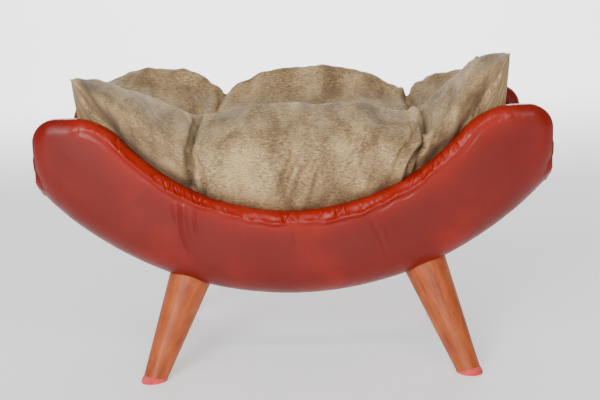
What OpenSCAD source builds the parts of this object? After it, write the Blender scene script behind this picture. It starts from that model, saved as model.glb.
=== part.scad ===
// Raised pet bed: a curved, leather-covered cradle on four splayed wooden legs,
// with a loose tufted cushion. Millimetres, +Z up, +X to the right, -Y to the front.
// The origin is on the floor, under the middle of the bed.

/* [Shell] */
// Overall width across the four ears
shell_w = 640; // [626:1:656]
// Depth of the shell where its walls meet its underside
shell_d = 300; // [290:1:320]
// Height of the underside above the floor, at the middle of the bed
belly_z = 98; // [92:1:112]
// Radius of the curved underside
belly_r = 430; // [422:1:440]
// Height of the lowest point of the rim
rim_z = 208; // [202:1:216]
// Radius of the rim's curve
rim_r = 280; // [272:1:290]
// Height of the flat tops of the ears
ear_z = 332; // [326:1:340]
// Radius of the outer corners of the ears
ear_r = 30; // [22:1:36]
// Outward lean of the padded wall faces, in degrees
wall_lean = 2; // [0:0.5:4]
// Radius of the rounded edge between the wall faces and the underside
shoulder_r = 40; // [34:1:40]

/* [Layers] */
// Thickness of the leather, drawn slightly thick
leather_t = 1.6; // [1.2:0.1:2]
// Thickness of the plywood walls
ply_t = 12; // [12:1:14]
// Thickness of the bent plywood deck
deck_t = 15; // [15:1:18]
// Height of the roll that pads the rim
roll_t = 12; // [8:1:14]
// Thickness of the foam on the deck
deck_foam_t = 40; // [30:1:44]

/* [Legs] */
// Diameter of a leg at its top
leg_top_d = 55; // [48:1:56]
// Diameter of a leg at its foot
leg_foot_d = 29; // [26:1:34]
// Distance between the leg tops and the middle of the four legs, sideways
leg_top_x = 150; // [140:1:154]
// Distance of the leg tops from the middle, front to back
leg_top_y = 108; // [104:1:112]
// Distance between the feet and the middle of the four legs, sideways
foot_x = 198; // [188:1:202]
// Distance of the feet from the middle, front to back
foot_y = 160; // [152:1:164]
// How far the four legs stand to the right of the shell's middle
leg_shift = 15; // [0:1:16]

/* [Cushion] */
// Height of the top of the cushion, at its middle
cushion_z = 350; // [342:1:357]
// Height of the raised ends of the cushion
cushion_tip_z = 388; // [380:1:396]
// Overall length of the cushion, end to end
cushion_w = 556; // [540:1:560]
// Depth of the part of the cushion that swells over the rim
cushion_d = 292; // [270:1:300]

/* [Hidden] */
$fn = 128;

// The underside, the deck and all its layers are turned about one axis that runs
// front to back through this height.
axis_z = belly_z + belly_r;
rim_axis_z = rim_z + rim_r;
ear_inner_r = 85;
end_corner_r = 22;
arc_step = 5;

// Radii of the layers, from the underside inwards
deck_r_out = belly_r - leather_t;
deck_r_in = deck_r_out - deck_t;
foam_r_in = deck_r_in - deck_foam_t;
lining_r_in = foam_r_in - leather_t;
block_r_in = deck_r_in - 22;

// Distances of the wall layers from the middle plane
panel_y_out = shell_d / 2 - 16;
panel_y_in = panel_y_out - ply_t;
lining_y_in = panel_y_in - leather_t;
margin_y = 78;
shell_y_max = shell_d / 2 + 40;

// Angles along the deck, from its middle
deck_angle = 44.5;
rail_angle = 41;
margin_angle = 41.5;

// Screws, bolts and staples
screw_r = 2;
screw_len = 45;
screw_head_r = 4;
screw_ring_r = deck_r_in + 3.6;
hole_gap = 0.05;
bolt_r = 4;
bolt_in_leg = 34;
bolt_len = 76;
tnut_barrel_r = 5.5;
tnut_flange_r = 12;
tnut_flange_t = 1.6;
tnut_barrel_len = 12;
staple_wire = 1;
staple_w = 10;
staple_leg = 8;

// Felt foot pads: the thinnest edge, where the leg is nearest the floor
pad_min_t = 2;
pad_grow = 0.5;

// The leg's axis, from the floor up to the underside
leg_top_z = axis_z - sqrt(belly_r * belly_r - leg_top_x * leg_top_x);
leg_rise = [leg_top_x - foot_x, leg_top_y - foot_y, leg_top_z];
leg_len = norm(leg_rise);
leg_tilt = acos(leg_rise[2] / leg_len);
leg_turn = atan2(leg_rise[1], leg_rise[0]);

// The foot is cut half-way between square to the leg and level with the floor
foot_tilt = leg_tilt / 2;
foot_cut = (pad_min_t + (leg_foot_d / 2 + pad_grow) * sin(foot_tilt) / cos(foot_tilt)) / cos(foot_tilt);

// Leg blocks on the deck, and the height along a leg at which its tee nut sits
function block_angle(side_x) = side_x * atan2(leg_top_x + side_x * leg_shift - 6, axis_z - leg_top_z - 22);
block_half_angle = 4.2;
block_y_in = panel_y_in - 58;
tnut_seat_s = leg_len + 31;

// Cushion
cushion_gap = 0.6;
cover_t = 2;
cushion_end_angle = 40;
tie_r = 1.2;
tie_columns = [-110, 155];
tie_row_y = 88;
layer_gap = 0.1;

// ---------- Outlines ----------

// Points on an arc of radius r about [cx, cy], from angle a0 to angle a1
function arc(cx, cy, r, a0, a1) =
    let (n = max(2, ceil(abs(a1 - a0) / arc_step)))
    [for (i = [0:n]) let (a = a0 + (a1 - a0) * i / n) [cx + r * cos(a), cy + r * sin(a)]];

function backwards(pts) = [for (i = [len(pts) - 1:-1:0]) pts[i]];

// The left half of an outline, from its right half
function flip_x(pts) = [for (p = backwards(pts)) [-p[0], p[1]]];

// Right half of the wall's lower edge, from the middle to the outer end.
// inset moves the edge inwards, into the material.
function lower_half(inset) =
    let (
        cx = shell_w / 2 - end_corner_r,
        cz = axis_z - sqrt(pow(belly_r - end_corner_r, 2) - cx * cx),
        a = atan2(cz - axis_z, cx)
    )
    concat(
        arc(0, axis_z, belly_r - inset, -90, a),
        arc(cx, cz, end_corner_r - inset, a, 0)
    );

// Right half of the wall's upper edge, from the outer end to the middle
function upper_half(inset) =
    let (
        ear_cx = shell_w / 2 - ear_r,
        ear_cz = ear_z - ear_r,
        in_cz = ear_z - ear_inner_r,
        in_cx = sqrt(pow(rim_r + ear_inner_r, 2) - pow(rim_axis_z - in_cz, 2)),
        a = atan2(rim_axis_z - in_cz, -in_cx)
    )
    concat(
        arc(ear_cx, ear_cz, ear_r - inset, 0, 90),
        arc(in_cx, in_cz, ear_inner_r - inset, 90, a),
        arc(0, rim_axis_z, rim_r + inset, a - 180, -90)
    );

// Closed outline of a wall, seen from the front
function wall_outline(low_inset, top_inset) =
    let (
        corner = [shell_w / 2 - low_inset, ear_z - ear_r],
        right = concat(lower_half(low_inset), [corner], upper_half(top_inset)),
        left = flip_x(right)
    )
    concat(right, left);

// Strip that follows the upper edge between two insets
function rim_strip(inset_a, inset_b) =
    let (outer = upper_half(inset_a), inner = upper_half(inset_b))
    concat(outer, flip_x(outer), backwards(concat(inner, flip_x(inner))));

// Half-depth of the padded wall face at radius r from the shell's axis
function face_y(r, inset) = shell_d / 2 + (belly_r - r) * tan(wall_lean) - inset / cos(wall_lean);

// Cross-section of the whole shell as [radius, y] points, moved inwards by inset
function shell_section(inset) =
    let (
        cr = belly_r - shoulder_r,
        cy = face_y(cr, 0) - shoulder_r / cos(wall_lean),
        half = concat(
            [[rim_r, face_y(rim_r, inset)]],
            arc(cr, cy, shoulder_r - inset, 90 - wall_lean, 0)
        )
    )
    concat(half, [for (p = backwards(half)) [p[0], -p[1]]]);

// ---------- Shared solids ----------

// Turns [radius, y] points about the shell's axis, between two angles from the bottom
module turned(pts, a0, a1) {
    translate([0, 0, axis_z])
        rotate([-90, 0, 0])
            rotate([0, 0, 90 - a1])
                rotate_extrude(angle = a1 - a0)
                    polygon(pts);
}

// A curved slab between two radii and two depths
module layer(r0, r1, y0, y1, a0, a1) {
    turned([[r0, y0], [r1, y0], [r1, y1], [r0, y1]], a0, a1);
}

// The outside of the padded shell, moved inwards by inset
module shell_body(inset) {
    turned(shell_section(inset), -60, 60);
}

// A flat outline in X and Z, given a depth from y0 to y1
module upright(pts, y0, y1) {
    translate([0, y1, 0])
        rotate([90, 0, 0])
            linear_extrude(y1 - y0)
                polygon(pts);
}

// side is 1 for the rear half and -1 for the front half
module on_side(side) {
    if (side > 0) children();
    else mirror([0, 1, 0]) children();
}

// Puts children, built up the Z axis from the floor, on the leg of one corner.
// tilt is how far they lean from upright, towards the middle of the bed.
module at_leg(side_x, side_y, tilt = leg_tilt) {
    translate([leg_shift, 0, 0])
        mirror([side_x < 0 ? 1 : 0, 0, 0])
            mirror([0, side_y < 0 ? 1 : 0, 0])
                translate([foot_x, foot_y, 0])
                    rotate([0, tilt, leg_turn])
                        children();
}

// Clearance bores for both bolts of one side
module bolt_holes(side_y) {
    for (side_x = [-1, 1])
        at_leg(side_x, side_y)
            translate([0, 0, leg_len - bolt_in_leg])
                cylinder(r = bolt_r + hole_gap, h = bolt_len + 40);
}

// ---------- Frame ----------

// A point of the wall, as [x, z], at radius r from the shell's axis and a degrees from the bottom
function wall_point(r, a) = [r * sin(a), axis_z - r * cos(a)];

// Places of the wall screws: a row into the edge of the deck, and one into each end rail
function screw_places() =
    let (rail_r = (deck_r_in + foam_r_in) / 2, rail_mid = (rail_angle + deck_angle) / 2)
    concat(
        [for (a = [-32:8:32]) wall_point(screw_ring_r, a)],
        [for (s = [-1, 1]) wall_point(rail_r, s * rail_mid)]
    );

module screw(gap) {
    translate([0, panel_y_out, 0])
        rotate([90, 0, 0]) {
            cylinder(r = screw_r + gap, h = screw_len + gap);
            cylinder(r1 = screw_head_r + gap, r2 = screw_r + gap, h = screw_head_r - screw_r);
        }
}

module side_screws(gap) {
    for (p = screw_places())
        translate([p[0], 0, p[1]])
            screw(gap);
}

module wall_panel(side) {
    color("burlywood")
        on_side(side)
            difference() {
                intersection() {
                    upright(wall_outline(leather_t, leather_t + roll_t), panel_y_in, panel_y_out);
                    shell_body(leather_t);
                }
                side_screws(hole_gap);
            }
}

module front_panel() {
    wall_panel(-1);
}

module rear_panel() {
    wall_panel(1);
}

module deck_panel() {
    color("tan")
        difference() {
            intersection() {
                layer(deck_r_in, deck_r_out, -panel_y_in, panel_y_in, -deck_angle, deck_angle);
                shell_body(leather_t);
            }
            for (side = [-1, 1]) {
                on_side(side) side_screws(hole_gap);
                bolt_holes(side);
                for (side_x = [-1, 1]) at_leg(side_x, side) tnut(hole_gap);
            }
        }
}

module end_rail(side_x) {
    mid = side_x * (rail_angle + deck_angle) / 2;
    half = (deck_angle - rail_angle) / 2;
    color("wheat")
        difference() {
            layer(foam_r_in + layer_gap, deck_r_in - layer_gap,
                -panel_y_in, panel_y_in, mid - half, mid + half);
            for (side = [-1, 1]) on_side(side) side_screws(hole_gap);
        }
}

module left_end_rail() {
    end_rail(-1);
}

module right_end_rail() {
    end_rail(1);
}

module tnut_pocket(side_x, side_y) {
    at_leg(side_x, side_y)
        translate([0, 0, tnut_seat_s])
            cylinder(r = tnut_flange_r + 1, h = 40);
}

module tnut(gap) {
    translate([0, 0, tnut_seat_s - tnut_barrel_len])
        cylinder(r = tnut_barrel_r + gap, h = tnut_barrel_len + tnut_flange_t);
    translate([0, 0, tnut_seat_s])
        cylinder(r = tnut_flange_r, h = tnut_flange_t);
}

module leg_block(side_x, side_y) {
    mid = block_angle(side_x);
    color("peru")
        difference() {
            on_side(side_y)
                layer(block_r_in, deck_r_in, block_y_in, panel_y_in,
                    mid - block_half_angle, mid + block_half_angle);
            bolt_holes(side_y);
            tnut_pocket(side_x, side_y);
            at_leg(side_x, side_y) tnut(hole_gap);
            on_side(side_y) side_screws(hole_gap);
        }
}

module leg_block_front_left() {
    leg_block(-1, -1);
}

module leg_block_front_right() {
    leg_block(1, -1);
}

module leg_block_rear_left() {
    leg_block(-1, 1);
}

module leg_block_rear_right() {
    leg_block(1, 1);
}

module panel_screws() {
    color("gold")
        for (side = [-1, 1])
            on_side(side) side_screws(0);
}

// ---------- Padding ----------

module deck_foam() {
    color("lightyellow")
        difference() {
            layer(foam_r_in + layer_gap, deck_r_in - layer_gap, -panel_y_in + layer_gap,
                panel_y_in - layer_gap, -rail_angle, rail_angle);
            for (side_x = [-1, 1], side_y = [-1, 1]) {
                mid = block_angle(side_x);
                half = block_half_angle + 0.4;
                on_side(side_y)
                    layer(block_r_in - 4, deck_r_in, block_y_in - 2, panel_y_in, mid - half, mid + half);
            }
        }
}

module wall_foam(side) {
    color("khaki")
        on_side(side)
            intersection() {
                upright(wall_outline(leather_t, leather_t + roll_t), panel_y_out, shell_y_max);
                shell_body(leather_t);
            }
}

module front_foam() {
    wall_foam(-1);
}

module rear_foam() {
    wall_foam(1);
}

module edge_roll(side) {
    color("lemonchiffon")
        on_side(side)
            intersection() {
                upright(rim_strip(leather_t, leather_t + roll_t), panel_y_in, shell_y_max);
                shell_body(leather_t);
            }
}

module front_edge_roll() {
    edge_roll(-1);
}

module rear_edge_roll() {
    edge_roll(1);
}

// ---------- Covers ----------

// Leather over one wall: its face, its edges and the margin turned under the deck
module wall_cover(side) {
    color("firebrick")
        difference() {
            on_side(side)
                union() {
                    difference() {
                        intersection() {
                            upright(wall_outline(0, 0), panel_y_in, shell_y_max);
                            shell_body(0);
                        }
                        intersection() {
                            upright(wall_outline(leather_t, leather_t), panel_y_in - 1, shell_y_max);
                            shell_body(leather_t);
                        }
                    }
                    difference() {
                        intersection() {
                            layer(belly_r - 10, belly_r + 1, margin_y, panel_y_in + 0.1,
                                -deck_angle, deck_angle);
                            shell_body(0);
                        }
                        shell_body(leather_t);
                    }
                }
            bolt_holes(side);
        }
}

module front_cover() {
    wall_cover(-1);
}

module rear_cover() {
    wall_cover(1);
}

module deck_lining() {
    color("brown")
        layer(lining_r_in, foam_r_in, -panel_y_in, panel_y_in, -deck_angle, deck_angle);
}

// Leather inside one wall, above the deck's layers
module wall_lining(side) {
    color("indianred")
        on_side(side)
            difference() {
                upright(wall_outline(leather_t, leather_t), lining_y_in, panel_y_in);
                layer(lining_r_in, belly_r + 10, 0, shell_d, -deck_angle - 0.3, deck_angle + 0.3);
            }
}

module front_lining() {
    wall_lining(-1);
}

module rear_lining() {
    wall_lining(1);
}

// Leather over one end of the deck and its rail
module end_cover(side_x) {
    a = deck_angle;
    b = deck_angle + 0.25;
    color("darkred")
        mirror([side_x < 0 ? 1 : 0, 0, 0])
            union() {
                layer(lining_r_in, belly_r, -lining_y_in, lining_y_in, a, b);
                layer(deck_r_out, belly_r, -margin_y, margin_y, margin_angle, b);
            }
}

module left_end_cover() {
    end_cover(-1);
}

module right_end_cover() {
    end_cover(1);
}

module dust_cover() {
    color("dimgray")
        layer(deck_r_out, deck_r_out + 1, -margin_y, margin_y, -margin_angle, margin_angle);
}

module staple() {
    translate([-staple_w / 2, -staple_wire / 2, -staple_wire])
        cube([staple_w, staple_wire, staple_wire]);
    for (s = [-1, 1])
        translate([s * (staple_w - staple_wire) / 2 - staple_wire / 2, -staple_wire / 2, -staple_wire])
            cube([staple_wire, staple_wire, staple_leg + staple_wire]);
}

module cover_staples() {
    color("silver")
        for (a = [-38:4:38], y = [-73, 73])
            translate([0, 0, axis_z])
                rotate([0, -a, 0])
                    translate([0, y, -deck_r_out - 1])
                        staple();
}

// ---------- Legs ----------

// Everything under the plane at which the leg's foot is cut
module below_foot(side_x, side_y) {
    at_leg(side_x, side_y, foot_tilt)
        translate([-60, -60, foot_cut - 60])
            cube([120, 120, 60]);
}

module leg(side_x, side_y) {
    color("sienna")
        difference() {
            at_leg(side_x, side_y)
                translate([0, 0, -20])
                    rotate([0, 0, 90])
                        cylinder(r1 = leg_foot_d / 2 - 2, r2 = leg_top_d / 2 + 2, h = leg_len + 48);
            shell_body(0);
            below_foot(side_x, side_y);
            at_leg(side_x, side_y)
                translate([0, 0, leg_len - bolt_in_leg])
                    cylinder(r = bolt_r + hole_gap, h = bolt_len);
        }
}

module leg_front_left() {
    leg(-1, -1);
}

module leg_front_right() {
    leg(1, -1);
}

module leg_rear_left() {
    leg(-1, 1);
}

module leg_rear_right() {
    leg(1, 1);
}

module hanger_bolts() {
    color("lightgray")
        for (side_x = [-1, 1], side_y = [-1, 1])
            at_leg(side_x, side_y)
                translate([0, 0, leg_len - bolt_in_leg])
                    cylinder(r = bolt_r, h = tnut_seat_s - leg_len + bolt_in_leg);
}

module tee_nuts() {
    color("gray")
        for (side_x = [-1, 1], side_y = [-1, 1])
            at_leg(side_x, side_y)
                difference() {
                    tnut(0);
                    translate([0, 0, tnut_seat_s - tnut_barrel_len - 1])
                        cylinder(r = bolt_r + hole_gap, h = tnut_barrel_len + tnut_flange_t + 2);
                }
}

module foot_pad(side_x, side_y) {
    color("lightcoral")
        intersection() {
            at_leg(side_x, side_y)
                translate([0, 0, -20])
                    rotate([0, 0, 90])
                        cylinder(r = leg_foot_d / 2 + pad_grow, h = 60);
            below_foot(side_x, side_y);
            translate([-shell_w, -shell_w, 0])
                cube([shell_w * 2, shell_w * 2, 40]);
        }
}

module foot_pad_front_left() {
    foot_pad(-1, -1);
}

module foot_pad_front_right() {
    foot_pad(1, -1);
}

module foot_pad_rear_left() {
    foot_pad(-1, 1);
}

module foot_pad_rear_right() {
    foot_pad(1, 1);
}

// ---------- Cushion ----------

// Right half of the cushion seen from the front, moved inwards by inset
function cushion_half(inset) =
    let (
        tip_x = cushion_w / 2 - inset,
        mid_z = cushion_z - inset,
        tip_rise = cushion_tip_z - cushion_z,
        steps = 12
    )
    concat(
        arc(0, axis_z, lining_r_in - cushion_gap - inset, -90, cushion_end_angle - 90),
        [for (i = [steps:-1:0]) let (t = i / steps) [tip_x * t, mid_z + tip_rise * pow(t, 4)]]
    );

module cushion_body(inset) {
    half = cushion_half(inset);
    outline = concat(half, flip_x(half));
    inner_y = lining_y_in - cushion_gap - inset;
    outer_y = cushion_d / 2 - inset;
    upright(outline, -inner_y, inner_y);
    intersection() {
        upright(outline, -outer_y, outer_y);
        union() {
            translate([0, shell_w / 2, rim_axis_z])
                rotate([90, 0, 0])
                    cylinder(r = rim_r - 3 - inset, h = shell_w);
            translate([-shell_w / 2, -shell_w / 2, ear_z + 3 + inset])
                cube([shell_w, shell_w, 100]);
        }
    }
}

module ties(r) {
    for (x = tie_columns, y = [-tie_row_y, 0, tie_row_y])
        translate([x, y, axis_z - sqrt(pow(lining_r_in, 2) - x * x)])
            cylinder(r = r, h = cushion_z - belly_z);
}

module cushion_cover() {
    color("tan")
        difference() {
            cushion_body(0);
            cushion_body(cover_t);
            ties(tie_r + hole_gap);
        }
}

module cushion_filling() {
    color("ivory")
        difference() {
            cushion_body(cover_t);
            ties(tie_r + hole_gap);
        }
}

module tuft_ties() {
    color("saddlebrown")
        intersection() {
            ties(tie_r);
            cushion_body(0);
        }
}

front_panel();
rear_panel();
deck_panel();
left_end_rail();
right_end_rail();
leg_block_front_left();
leg_block_front_right();
leg_block_rear_left();
leg_block_rear_right();
panel_screws();
deck_foam();
front_foam();
rear_foam();
front_edge_roll();
rear_edge_roll();
front_cover();
rear_cover();
deck_lining();
front_lining();
rear_lining();
left_end_cover();
right_end_cover();
dust_cover();
cover_staples();
leg_front_left();
leg_front_right();
leg_rear_left();
leg_rear_right();
hanger_bolts();
tee_nuts();
foot_pad_front_left();
foot_pad_front_right();
foot_pad_rear_left();
foot_pad_rear_right();
cushion_cover();
cushion_filling();
tuft_ties();
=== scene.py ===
"""Raised pet bed: leather cradle on splayed wooden legs, with a loose tufted velvet cushion.

Lengths in the shape functions are millimetres in the row frame (+X right, -Y front, +Z up,
origin on the floor under the middle of the bed). mesh_object() turns them into metres.
"""

import math

import bpy
import numpy as np
from mathutils import Matrix, Vector


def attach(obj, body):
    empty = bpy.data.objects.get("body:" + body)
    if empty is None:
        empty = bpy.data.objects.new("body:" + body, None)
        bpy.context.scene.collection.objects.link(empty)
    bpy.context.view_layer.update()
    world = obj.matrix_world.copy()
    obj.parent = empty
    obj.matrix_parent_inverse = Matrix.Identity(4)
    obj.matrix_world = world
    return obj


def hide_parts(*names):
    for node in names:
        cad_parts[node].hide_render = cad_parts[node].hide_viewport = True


MM = 0.001

# ---------- Sizes that the CAD source sets ----------
HALF_W = 320.0
SHELL_HALF_D = 150.0
BELLY_R = 430.0
BELLY_Z = 98.0
AXIS_Z = BELLY_Z + BELLY_R
RIM_Z = 208.0
RIM_R = 280.0
RIM_AXIS_Z = RIM_Z + RIM_R
EAR_Z = 332.0
EAR_R = 30.0
EAR_INNER_R = 85.0
END_R = 22.0
WALL_LEAN = math.radians(2.0)
SHOULDER_R = 40.0
LINING_Y = 120.4
MARGIN_Y = 78.0
LINING_R = 371.8
DECK_R = 428.4
DECK_ANGLE = math.radians(44.5)
MARGIN_ANGLE = math.radians(41.5)
LEG_TOP = (150.0, 108.0)
FOOT = (198.0, 160.0)
LEG_SHIFT = 15.0
LEG_FOOT_R = 14.5
LEG_TOP_Z = AXIS_Z - math.sqrt(BELLY_R**2 - LEG_TOP[0] ** 2)
PAD_MIN_T = 2.0
PAD_GROW = 0.5
STAPLE_STEP = math.radians(4.0)
STAPLE_Y = 73.0
TIE_X = (-110.0, 155.0)
TIE_Y = (-88.0, 0.0, 88.0)


# ---------- Smooth noise on a fixed random lattice ----------
LATTICE = np.random.RandomState(7).uniform(-1, 1, (64, 64))


def fade(t):
    return t * t * (3 - 2 * t)


def step(a, b, x):
    """0 below a, 1 above b, smooth between."""
    return fade(np.clip((np.asarray(x, float) - a) / (b - a), 0, 1))


def bell(x, half):
    """1 at 0, falling to 1/e at half to either side."""
    return np.exp(-((x / half) ** 2))


def noise(x, y=0.0, seed=0):
    """Smooth noise from -1 to 1, one lump per unit."""
    x = np.asarray(x, float) + seed * 7.31
    y = np.asarray(y, float) + seed * 3.77
    x, y = np.broadcast_arrays(x, y)
    ix, iy = np.floor(x).astype(int), np.floor(y).astype(int)
    tx, ty = fade(x - ix), fade(y - iy)

    def at(i, j):
        return LATTICE[i % 64, j % 64]

    low = at(ix, iy) * (1 - tx) + at(ix + 1, iy) * tx
    high = at(ix, iy + 1) * (1 - tx) + at(ix + 1, iy + 1) * tx
    return low * (1 - ty) + high * ty


def rough(x, y=0.0, seed=0):
    """Noise in three sizes, each half as strong as the one before."""
    total, size, share = 0.0, 1.0, 1.0
    for k in range(3):
        total = total + share * noise(np.asarray(x) * size, np.asarray(y) * size, seed + k)
        size, share = size * 2.03, share * 0.5
    return total


# ---------- Meshes ----------
def mesh_object(name, verts, faces):
    mesh = bpy.data.meshes.new(name)
    mesh.from_pydata([tuple(v) for v in np.reshape(verts, (-1, 3)) * MM], [], faces)
    mesh.validate()
    mesh.update()
    obj = linked(name, mesh)
    mesh.polygons.foreach_set("use_smooth", [True] * len(mesh.polygons))
    return obj


def grid_faces(rows, cols, loop_cols=False, loop_rows=False, flip=False):
    i = np.arange(rows if loop_rows else rows - 1)[:, None]
    j = np.arange(cols if loop_cols else cols - 1)[None, :]
    i2, j2 = (i + 1) % rows, (j + 1) % cols
    corners = [i * cols + j, i * cols + j2, i2 * cols + j2, i2 * cols + j]
    quads = np.stack(corners, axis=-1).reshape(-1, 4)
    return (quads[:, ::-1] if flip else quads).tolist()


def grid_normals(pts, row, axis):
    """Unit normals of a grid of points, turned so that the middle one of that row points along the axis."""
    n = np.cross(np.gradient(pts, axis=1), np.gradient(pts, axis=0))
    n = n / np.maximum(np.linalg.norm(n, axis=-1, keepdims=True), 1e-9)
    return -n if n[row, pts.shape[1] // 2, axis] < 0 else n


def float_attribute(obj, name, values):
    layer = obj.data.attributes.new(name, "FLOAT", "POINT")
    layer.data.foreach_set("value", np.asarray(values, np.float32).ravel())


def thicken(obj, thickness, offset=-1.0):
    mod = obj.modifiers.new("thickness", "SOLIDIFY")
    mod.thickness = thickness * MM
    mod.offset = offset


# ---------- The wall's outline ----------
def arc(cx, cz, r, a0, a1, pitch=1.0):
    n = max(3, int(abs(a1 - a0) * r / pitch))
    a = np.linspace(a0, a1, n)
    return np.stack([cx + r * np.cos(a), cz + r * np.sin(a)], axis=1)


def half_outlines():
    """Right half of the wall's lower edge and of its upper edge, as x and z."""
    cx = HALF_W - END_R
    cz = AXIS_Z - math.sqrt((BELLY_R - END_R) ** 2 - cx * cx)
    a = math.atan2(cz - AXIS_Z, cx)
    lower = [arc(0, AXIS_Z, BELLY_R, -math.pi / 2, a), arc(cx, cz, END_R, a, 0)]
    in_cz = EAR_Z - EAR_INNER_R
    in_cx = math.sqrt((RIM_R + EAR_INNER_R) ** 2 - (RIM_AXIS_Z - in_cz) ** 2)
    b = math.atan2(RIM_AXIS_Z - in_cz, -in_cx)
    upper = [
        arc(HALF_W - EAR_R, EAR_Z - EAR_R, EAR_R, 0, math.pi / 2),
        arc(in_cx, in_cz, EAR_INNER_R, math.pi / 2, b),
        arc(0, RIM_AXIS_Z, RIM_R, b - math.pi, -math.pi / 2),
    ]
    return np.concatenate(lower), np.concatenate(upper)


def respaced(pts, n):
    """n points at equal distances along a line of points."""
    length = np.concatenate([[0], np.cumsum(np.linalg.norm(np.diff(pts, axis=0), axis=1))])
    at = np.linspace(0, length[-1], n)
    return np.stack([np.interp(at, length, pts[:, k]) for k in range(pts.shape[1])], axis=1)


def distance_to(points, line):
    """Distance from each point to a polyline, both in x and z."""
    a, b = line[:-1], line[1:]
    d = b - a
    out = np.empty(len(points))
    for k in range(0, len(points), 4000):
        p = points[k : k + 4000, None, :] - a[None]
        t = np.clip((p * d).sum(-1) / np.maximum((d * d).sum(-1), 1e-9), 0, 1)
        out[k : k + 4000] = np.linalg.norm(p - t[..., None] * d, axis=-1).min(1)
    return out


LOWER_HALF, UPPER_HALF = half_outlines()
FLIP = np.array([-1.0, 1.0])
END_CORNER = LOWER_HALF[-1:]
UPPER_EDGE = np.concatenate([END_CORNER, UPPER_HALF, (UPPER_HALF * FLIP)[::-1], END_CORNER * FLIP])


# ---------- Leather walls ----------
COLUMNS = 640
LEATHER_T = 1.2
ROLL_R = 10.0
ROLL_IN_R = 13.0
EAR_DROP = 10.0
EAR_EASE = 24.0
EAR_FROM_X, EAR_FULL_X = 228.0, 266.0
GROOVE_AT = 17.0
GROOVE_HALF = 2.2
RIDGE_ABOVE = 6.0
RIDGE_HALF = 3.2
FACE_SWELL = 1.8
END_TUCK = 0.08
PLY_Y = 134.0
PLY_INSET = 13.6
BACK_Y = LINING_Y - 1.0
WRAP_ROWS = 22


def wall_face_y(x, z):
    """Half-depth of the padded wall face, before its rim is rounded."""
    r = np.hypot(x, z - AXIS_Z)
    knee = BELLY_R - SHOULDER_R
    flat = SHELL_HALF_D + (BELLY_R - r) * math.tan(WALL_LEAN)
    knee_y = SHELL_HALF_D + SHOULDER_R * math.tan(WALL_LEAN) - SHOULDER_R / math.cos(WALL_LEAN)
    over = np.clip(r - knee, 0, SHOULDER_R)
    rounded = knee_y + np.sqrt(np.maximum(SHOULDER_R**2 - over**2, 0))
    return np.where(r > knee, np.minimum(rounded, flat), flat)


def along_crease(x, z, start, end, bow):
    """Distance across a curved crease, and how far along it from 0 to 1."""
    start, end = np.array(start), np.array(end)
    d = end - start
    length = np.linalg.norm(d)
    t = ((x - start[0]) * d[0] + (z - start[1]) * d[1]) / length**2
    side = ((x - start[0]) * -d[1] + (z - start[1]) * d[0]) / length
    return side - bow * np.sin(np.clip(t, 0, 1) * math.pi), t


# Long creases in the front face: start, end, bow, half width, depth
FACE_CREASES = [
    ((-140.0, 224.0), (-124.0, 150.0), -7.0, 1.9, 1.9),
    ((-121.0, 220.0), (-119.0, 182.0), -2.5, 1.6, 1.2),
    ((-149.0, 226.0), (-143.0, 196.0), -2.0, 1.5, 1.0),
    ((104.0, 186.0), (116.0, 146.0), -2.0, 2.0, 0.8),
    ((92.0, 200.0), (104.0, 168.0), 2.0, 2.4, 0.5),
    ((-3.0, 196.0), (1.0, 168.0), 1.0, 2.2, 0.5),
]

# Wrinkle groups on the rolled rim: place along it, spread, creases, depth
RIM_WRINKLES = [
    (-252.0, 8.0, 6, 1.0),
    (-178.0, 14.0, 7, 1.2),
    (-152.0, 14.0, 7, 1.2),
    (-128.0, 12.0, 8, 1.5),
    (-62.0, 30.0, 6, 0.6),
    (-6.0, 12.0, 8, 1.5),
    (44.0, 16.0, 7, 1.3),
    (62.0, 9.0, 6, 1.3),
    (98.0, 18.0, 6, 0.9),
    (170.0, 18.0, 8, 1.1),
    (200.0, 14.0, 7, 1.2),
    (228.0, 10.0, 6, 1.1),
]


def roll_relief(u, v, seed):
    """Height of the lumps and wrinkles on the rolled rim. u runs along it, v down over it."""
    rng = np.random.RandomState(seed)
    height = 1.1 * rough(u / 30, v / 22, seed) + 0.5 * rough(u / 8, v / 12, seed + 3)
    inside = step(-16, -4, v) * (1 - step(15, 24, v))
    crossing = 0.0
    for place, spread, count, depth in RIM_WRINKLES:
        for _ in range(count):
            u0 = place + rng.uniform(-1, 1) * spread
            v0 = rng.uniform(2, 15)
            slant = rng.uniform(-0.9, 0.9)
            half = rng.uniform(0.8, 1.6)
            reach = rng.uniform(5, 10)
            across = (u - u0 - slant * (v - v0)) / half
            fall = bell(v - v0, reach) * np.exp(-np.abs(across) / 6)
            size = 1.9 * depth * rng.uniform(0.5, 1.0)
            crossing = crossing + size * fall * (0.7 * bell(across - 1.9, 1.0) - bell(across, 1.0))
    return inside * (height + crossing)


def wall_edges():
    """Matching points on the wall's lower and upper edges, from the middle of one end to the other."""
    lower = np.concatenate([(LOWER_HALF * FLIP)[::-1], LOWER_HALF])
    upper = np.concatenate([(UPPER_HALF * FLIP), UPPER_HALF[::-1]])
    middle = (lower[-1] + upper[-1]) / 2
    ends = [middle * FLIP, middle]
    full = [np.concatenate([ends[:1], line, ends[1:]]) for line in (lower, upper)]
    return [respaced(line, COLUMNS) for line in full]


def inward_of(line, side):
    """Unit directions across the line, to its left for side 1 and to its right for side -1."""
    d = np.gradient(line, axis=0)
    d /= np.maximum(np.linalg.norm(d, axis=1, keepdims=True), 1e-9)
    return np.stack([-d[:, 1], d[:, 0]], axis=1) * side


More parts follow.
